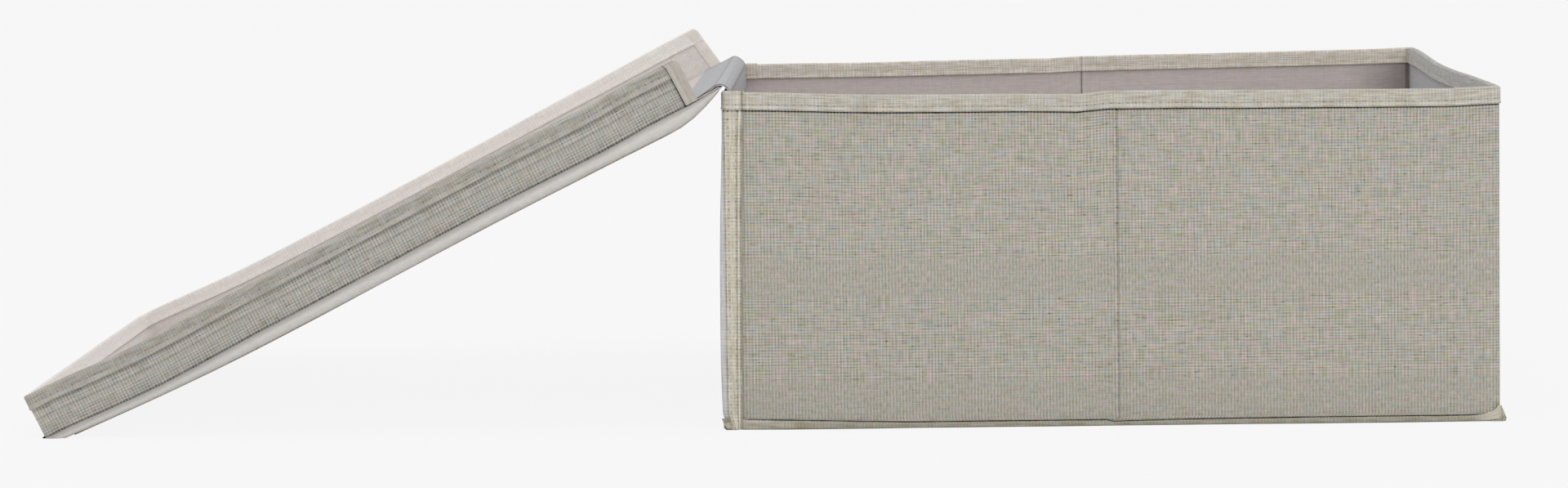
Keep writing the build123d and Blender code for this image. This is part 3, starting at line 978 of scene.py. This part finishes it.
STRIP_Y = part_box("hinge_strip_lid_leg")[1].y
LEG_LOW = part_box("hinge_strip_wall_leg")[0].z
LEG_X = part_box("hinge_strip_wall_leg")[1].x - HINGE_CLOTH_T / 2
LID_IN = HINGE.z - shut_box("lid_lining")[0].z
LEG_END = shut_box("hinge_strip_lid_leg")[1].x - HINGE.x
FOLD_R = 5.5 * MM
FOLD_SLACK = 1.0 * MM
FOLD_OFF = LID_IN + HINGE_CLOTH_T / 2
LEAN = OPEN_ANGLE - math.pi
OUT_X, OUT_Z = -math.sin(LEAN), math.cos(LEAN)
FOLD_X = LEG_X - FOLD_R
FOLD_Z = HINGE.z + (FOLD_OFF + FOLD_SLACK - FOLD_R - (FOLD_X - HINGE.x) * OUT_X) / OUT_Z
FOLD_END = math.degrees(math.atan2(OUT_Z, OUT_X))


def lid_point(along, off):
    """A point of the open lid's section, by how far it is along the lid and off towards its inside."""
    return (HINGE.x - along * OUT_Z + off * OUT_X, HINGE.z + along * OUT_X + off * OUT_Z)


def round_fold(degrees):
    """A point of the hinge cloth's soft fold, which runs on from the wall's inside into the lid's inside."""
    turned = math.radians(degrees)
    return (FOLD_X + FOLD_R * math.cos(turned), FOLD_Z + FOLD_R * math.sin(turned))


FOLD_TOP = round_fold(FOLD_END / 2)


def hinge_cloth(name, finish, low_y, high_y, thickness=None, parts=(), over=()):
    """One width of the cloth hinge in its two halves, which meet over the hinge line."""
    steps = 12
    turns = [round_fold(FOLD_END * step / steps) for step in range(steps + 1)]
    wall_half = [(LEG_X, LEG_LOW), (LEG_X, LEG_LOW + 6 * MM), *turns[:steps // 2 + 1]]
    lid_half = [*turns[steps // 2:], lid_point(11 * MM, FOLD_OFF + 0.6 * FOLD_SLACK),
            lid_point(18 * MM, FOLD_OFF), lid_point(LEG_END, FOLD_OFF)]
    for word, section, body, start in (("wall", wall_half, "hinge_wall", (LEG_X, FOLD_Z)),
            ("lid", lid_half[::-1], "lid", lid_point(7 * MM, FOLD_OFF))):
        bend = [(x, 0, z) for x, z in (start, FOLD_TOP)]
        sew(f"{name}_{word}_half", finish, (body, f"hinge_strip_{word}_half", *bend),
            [(x, low_y, z) for x, z in section], [go(y=high_y - low_y)],
            [f"hinge_strip_{word}_{part}" for part in parts], over, [settle_fold], thickness,
            uneven=0.15 * MM)


def hinge():
    hem = 1.6 * MM
    hinge_cloth("hinge_cloth", HINGE_CLOTH, -STRIP_Y, STRIP_Y, parts=("leg", "fold"),
            over=["hinge_side_lining"])
    for side, word in WORD.items():
        y = side * (STRIP_Y - hem / 2)
        hinge_cloth(f"hinge_hem_{word}", LIT_HINGE_HEM, y - hem / 2, y + hem / 2, 1.3 * MM)


# The lid's sizes, as it lies when it is shut

LIPS = ("near", "far", "end")
LID_LOW, LID_HIGH = shut_box("lid_cover")
LIP_START = shut_box("near_lip_cover")[0].x
LIP_OUT_Y, LIP_IN_Y = (-corner.y for corner in shut_box("near_lip_cover"))
LIP_IN_X, LIP_OUT_X = (corner.x for corner in shut_box("end_lip_cover"))
LIP_FREE, HEM_HIGH = (corner.z for corner in shut_box("near_lip_hem_tape"))
LIP_CORNER_R = 4.2 * MM
PAD_T = LID_HIGH.z - LID_LOW.z
PAD_START = HINGE.x + 5 * MM
PAD_CROWN = 1.5 * MM
REAR_TAPER = 34 * MM
REAR_EDGE_T = 1.2 * MM
NOSE_T = 3.5 * MM
NOSE_SLOPE = 0.46
# The pad's edge cloth, with painted shade along its two rounded edges, most where it meets the lips
PAD_CLOTH = smooth_cloth("lid_edge_cloth", (204, 200, 194), relief=0.6,
        seams=[((-LID_HIGH.y - LID_HIGH.z) / MM, 3, 0.16),
        ((-LID_HIGH.y - LID_LOW.z) / MM, 4.2, 0.36)])


def pad_thickness(x):
    """How thick the padded panel is along the lid: thin at the hinge, and pressed down at its tip."""
    rear = within((x - PAD_START) / REAR_TAPER)
    full = REAR_EDGE_T + (PAD_T - REAR_EDGE_T) * math.sin(rear * math.pi / 2)
    return min(full, NOSE_T + NOSE_SLOPE * max(0.0, LID_HIGH.x - x))


def swell(point):
    """Gives the flat pad its thickness, and crowns its outer side a little."""
    share = (point.z - LID_LOW.z) / PAD_T
    thickness = pad_thickness(point.x)
    crown = math.cos(point.y / LID_HIGH.y * math.pi / 2) * rise(LID_HIGH.x - point.x - 10 * MM, 90 * MM)
    outer = thickness + PAD_CROWN * max(0.0, crown) * thickness / PAD_T
    return Vector((point.x, point.y, LID_LOW.z + 0.6 * MM * (1 - share) + share * outer))


def on_the_ground(point):
    """The soft pad lies flat where the open lid's tip touches the ground."""
    return Vector((point.x, point.y, max(point.z, 0.4 * MM)))


def lid_pad():
    """The lid's padded panel, in the smooth cloth that shows round its edge."""
    piece = block("lid_padded_panel", (PAD_START, LID_LOW.y, LID_LOW.z), LID_HIGH)
    start_edit(piece)
    round_edges(piece, 5 * MM, 4, lambda middle, way: abs(way.z) > 0.9 and middle.x > 0)
    for z, radius, segments in ((LID_HIGH.z, 5 * MM, 5), (LID_LOW.z, 1.8 * MM, 3)):
        round_edges(piece, radius, segments, lambda middle, way: abs(middle.z - z) < 0.1 * MM
                and abs(way.z) < 0.1 and middle.x > PAD_START + 1 * MM
                and (abs(middle.y) > LID_HIGH.y - 6 * MM or middle.x > LID_HIGH.x - 6 * MM))
    end_edit()
    rear, nose = PAD_START + REAR_TAPER, LID_HIGH.x - 30 * MM
    slice_up(piece, 0, between(PAD_START, rear, 3 * MM) + between(rear - 3 * MM, nose, 12 * MM)
            + between(nose - 3 * MM, LID_HIGH.x - 6 * MM, 3 * MM))
    slice_up(piece, 1, between(-LID_HIGH.y + 8 * MM, LID_HIGH.y - 8 * MM, 12 * MM))
    lay_weave(piece)
    reshape(piece, swell)
    ripple(piece, 0.25 * MM, 40 * MM, seed=5.0)
    smooth(piece, 60)
    open_up_at_hinge(piece)
    reshape(piece, on_the_ground)
    dress(piece, PAD_CLOTH, "lid", ["lid_padding"])


def lid_top_cloth():
    """The linen over the pad's outer side, short of its soft edge."""
    room = 8 * MM
    start = PAD_START + 3 * MM
    sew("lid_top_cloth", LINEN, "lid", level(start, LID_HIGH.y - room, LID_HIGH.z + 0.35 * MM, 5),
        [go(LID_HIGH.x - 2 * room - start)], ["lid_cover"], ["lid_padded_panel"], [swell],
        then=open_up_at_hinge, uneven=0.15 * MM, seed=13.0)


def lip_end(point):
    """The side lips' ends lean away from the hinge towards the free edge, where their corner is rounded."""
    share = within((LIP_START + 22 * MM - point.x) / (14 * MM))
    down = within((LID_LOW.z - point.z) / (LID_LOW.z - LIP_FREE))
    corner_r = 3 * MM
    inside_corner = corner_r * within((LIP_FREE + corner_r - point.z) / corner_r)
    cut = corner_r - math.sqrt(corner_r ** 2 - inside_corner ** 2)
    lean = 4.4 * MM if point.y > 0 else 0.5 * MM
    return point + Vector(((1.2 * MM + lean * down + cut) * share, 0, 0))


def lid_boards():
    low, high = shut_box("lid_board")
    corners = (Vector((HINGE.x + 16 * MM, low.y + 4 * MM, low.z + 0.6 * MM)),
            Vector((high.x - 14 * MM, high.y - 4 * MM, low.z + 2.0 * MM)))
    open_up(board("lid_stiff_board", "lid_board", "lid", [], corners))
    for word in LIPS:
        node = f"{word}_lip_stiffener"
        open_up(board(f"{word}_lip_board", node, "lid", [lip_end], shut_box(node)))


def round_the_lips(x, y, radius):
    """The way round the lid's three lips, from the near one's hinge end to the far one's."""
    turn_x, turn_y = x - radius, y - radius
    return [go(turn_x - LIP_START), turn(turn_x, -turn_y, 90, radius, 6), go(y=2 * turn_y),
            turn(turn_x, turn_y, 90, radius, 6), go(LIP_START - turn_x)]


def lips():
    low = LIP_FREE + 0.5 * MM
    high = LID_LOW.z + 0.8 * MM
    heights = [low, *between(low, high, 4 * MM), high]
    half, inner_half = CLOTH_T / 2, LINING_T / 2
    for part, node, finish, x, y, radius in (
            ("cloth", "cover", LIP_LINEN, LIP_OUT_X - half, LIP_OUT_Y - half, LIP_CORNER_R),
            ("lining", "lining", LIP_LINING, LIP_IN_X + inner_half, LIP_IN_Y + inner_half, 1.5 * MM)):
        sew(f"lip_{part}", finish, "lid", [(LIP_START, -y, z) for z in heights],
            round_the_lips(x, y, radius), [f"{word}_lip_{node}" for word in LIPS],
            ["near_lip_board", "end_lip_board"], [lip_end], then=open_up)


def hem():
    """The hem tape, folded over the lips' free edge."""
    low = LIP_FREE + 0.3 * MM
    heights = [HEM_HIGH, HEM_HIGH - 0.2 * MM, HEM_HIGH - 0.8 * MM, HEM_HIGH - 1.4 * MM, low + 3 * MM]
    section = folded_tape(-0.25 * MM, LIP_OUT_Y - LIP_IN_Y + 0.25 * MM, heights, low, 0.7 * MM)
    sew("lip_hem_tape", HEM_TAPE, "lid", [(LIP_START, inward - LIP_OUT_Y, z) for inward, z in section],
        round_the_lips(LIP_OUT_X, LIP_OUT_Y, LIP_CORNER_R + 0.3 * MM),
        [f"{word}_lip_hem_tape" for word in LIPS], (), [lip_end], 0.5 * MM, open_up, uneven=0.15 * MM)


def lip_end_tape(side):
    """The bound end of a side lip, short of the hinge, drawn as a plan of its outer and its inner face."""
    outer = ((6, 0.35), (5.9, 0.85), (5.2, 0.85), (4.6, 0.55), (1.3, 0.55), (0, 0.35), (-0.3, -0.25))
    inner = ((-0.3, 0.5), (0, -0.1), (1.3, -0.3), (4.6, -0.3), (6, -0.3))
    low = LIP_FREE + 0.8 * MM
    end = [(LIP_START + x * MM, side * (face + y * MM), low)
           for face, plan in ((LIP_OUT_Y, outer), (LIP_IN_Y, inner)) for x, y in plan]
    sew(f"{WORD[side]}_lip_end_binding", NEAR_END_TAPE if side < 0 else LIT_FAR_END_TAPE, "lid", end,
        [go(z=4 * MM, step=0.7 * MM), go(z=LID_LOW.z - low - 4 * MM, step=4 * MM)],
        [f"{WORD[side]}_lip_end_tape"], (), [lip_end], 0.6 * MM, open_up, uneven=0.15 * MM)


def lid_lining():
    """The lining inside the lid, between the lips and up to the hinge cloth."""
    low, high = shut_box("lid_lining")
    start = HINGE.x + 6 * MM
    sew("lid_inner_lining", LINING, "lid", level(start, high.y - 0.2 * MM, low.z + 0.1 * MM, 4),
        [go(high.x - start)], ["lid_lining"], ["lid_stiff_board"], (), then=open_up_at_hinge,
        uneven=0.3 * MM, seed=11.0)


# Putting it together

wall_boards()
lid_boards()
for side in WORD:
    side_cloth(side)
    side_lining(side)
    side_rim(side)
    corner_tape(side)
    lip_end_tape(side)
end_walls_cloth()
end_walls_lining()
end_walls_rim()
bottom()
base()
hinge()
lid_pad()
lid_top_cloth()
lips()
hem()
lid_lining()

for name, node in frame["nodes"].items():
    if name.endswith(("_board", "_stiffener")):
        node.data.materials.clear()
        node.data.materials.append(BOARD[0])


# The scene: floor, light and camera

EVEN_GROUND = 0.96
PALE = colour(247, 247, 247)


def pale_ground():
    """The floor's finish: an even pale ground in which the object's soft shadow still shows."""
    finish = Finish("pale_ground", roughness=0.9)
    finish.feed(finish.shader.inputs["Base Color"], PALE)
    glow = finish.node("ShaderNodeEmission", sockets={"Color": PALE})
    rays = finish.node("ShaderNodeLightPath").socket.node.outputs
    seen = Signal(finish, rays["Is Camera Ray"])
    for ray in ("Is Glossy Ray", "Is Transmission Ray"):
        seen = seen.math("MAXIMUM", Signal(finish, rays[ray]))
    lit = Signal(finish, finish.shader.outputs["BSDF"])
    ground = finish.node("ShaderNodeMixShader", sockets=[seen * EVEN_GROUND, lit, glow])
    finish.feed(finish.tree.nodes["Material Output"].inputs["Surface"], ground)
    return finish.material


def stage_ground():
    bpy.ops.mesh.primitive_plane_add(size=60)
    floor = bpy.context.object
    floor.name = "floor"
    floor.data.materials.append(pale_ground())


def lamp(name, place, aim, size, power):
    bpy.ops.object.light_add(type="AREA", location=place)
    light = bpy.context.object
    light.name = name
    light.data.shape = "DISK"
    light.data.size = size
    light.data.energy = power
    light.rotation_euler = (Vector(aim) - Vector(place)).to_track_quat("-Z", "Y").to_euler()


def world_light(strength):
    world = bpy.data.worlds.new("studio")
    bpy.context.scene.world = world
    world.use_nodes = True
    ground = world.node_tree.nodes["Background"]
    ground.inputs["Color"].default_value = (1, 1, 1, 1)
    ground.inputs["Strength"].default_value = strength


# The photograph is 1920 by 597 pixels, and its focal length is in pixels
PHOTO_WIDTH = 1920
FOCAL_PIXELS = 6246.9
SENSOR = 36.0


def camera(place, *angles):
    """The photo's camera, turned by its yaw, pitch and roll in degrees."""
    yaw, pitch, roll = (math.radians(angle) for angle in angles)
    bpy.ops.object.camera_add(location=place)
    view = bpy.context.object
    view.data.sensor_width = SENSOR
    view.data.lens = FOCAL_PIXELS / PHOTO_WIDTH * SENSOR
    facing = Matrix.Rotation(-yaw, 4, "Z") @ Matrix.Rotation(math.pi / 2 - pitch, 4, "X")
    view.matrix_world = Matrix.Translation(place) @ facing @ Matrix.Rotation(roll, 4, "Z")
    view.data.clip_end = 100
    bpy.context.scene.camera = view


stage_ground()
world_light(0.9)
lamp("overhead_softbox", (-0.3, -0.6, 2.2), (-0.15, 0, 0.1), 1.6, 12)
lamp("front_softbox", (0.9, -2.2, 1.1), (0, 0, 0.1), 1.2, 6)
camera((-0.1237, -2.8392, 0.3027), -1.002, 4.486, -0.782)
bpy.context.scene.view_settings.view_transform = "Standard"
